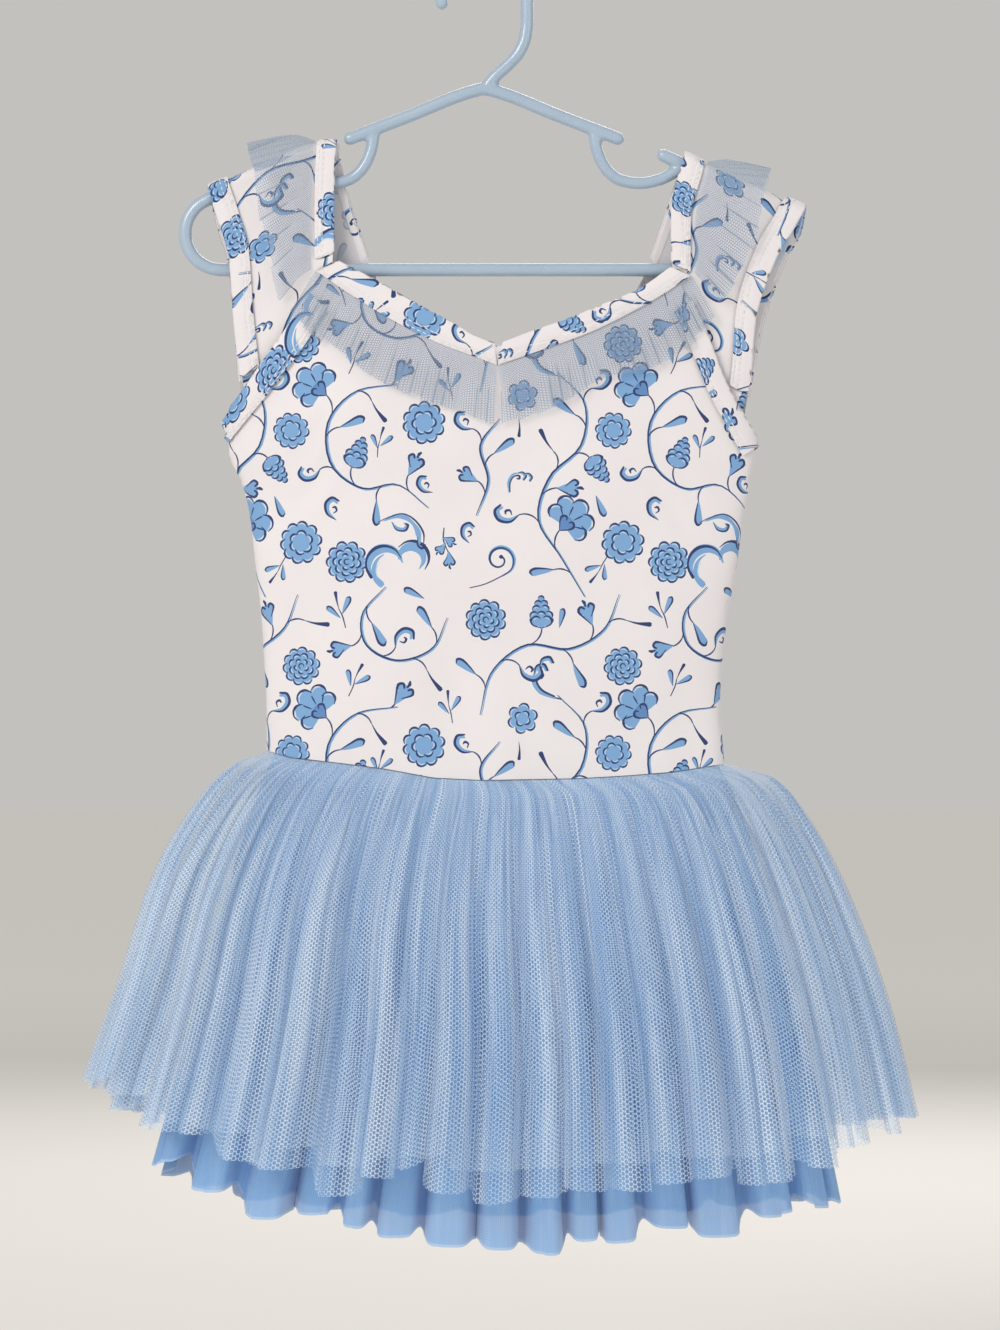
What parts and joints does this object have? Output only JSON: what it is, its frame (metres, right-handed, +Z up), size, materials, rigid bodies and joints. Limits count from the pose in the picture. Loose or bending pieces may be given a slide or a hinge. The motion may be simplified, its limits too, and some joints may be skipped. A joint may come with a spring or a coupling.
{
  "type": "ballet dress on a hanger",
  "caption": "Child's sleeveless ballet dress with a printed knit bodice, a V neckline with a gathered ruffle, wide straps and a layered tulle skirt, hanging on a plastic hanger.",
  "frame": {"origin": "inside top of the hanger's hook, in the plane of the hanger", "axes": "+X to the right of someone looking at the dress's front, -Y out of the front, +Z up"},
  "size_m": [0.4314, 0.1371, 0.6757],
  "materials": {
    "hanger_plastic": "moulded, light blue-grey, glossy",
    "printed_knit": "matte stretch knit, white with a blue floral print",
    "bound_edge": "the same printed knit folded over the edge, with two rows of white stitches",
    "sheer_tulle": "sheer grey-blue tulle, gathered, raw edge",
    "stiff_net": "stiff hexagonal net, pale blue, raw edge",
    "soft_tulle": "soft close tulle, blue, raw edge"
  },
  "bodies": {
    "root": {"hanger": "hanger_plastic", "bodice_front": "printed_knit", "bodice_back": "printed_knit", "strap_left": "printed_knit", "strap_right": "printed_knit", "neck_binding_left": "bound_edge", "neck_binding_right": "bound_edge", "neck_binding_back": "bound_edge", "strap_binding_left": "bound_edge", "strap_binding_right": "bound_edge", "sleeve_binding_left": "bound_edge", "sleeve_binding_right": "bound_edge", "armhole_binding_front_left": "bound_edge", "armhole_binding_front_right": "bound_edge", "armhole_binding_back_left": "bound_edge", "armhole_binding_back_right": "bound_edge", "ruffle_front_left": "sheer_tulle", "ruffle_front_right": "sheer_tulle", "ruffle_strap_left": "sheer_tulle", "ruffle_strap_right": "sheer_tulle", "skirt_net": "stiff_net", "skirt_net_under": "stiff_net", "underskirt": "soft_tulle"}
  },
  "joints": []
}
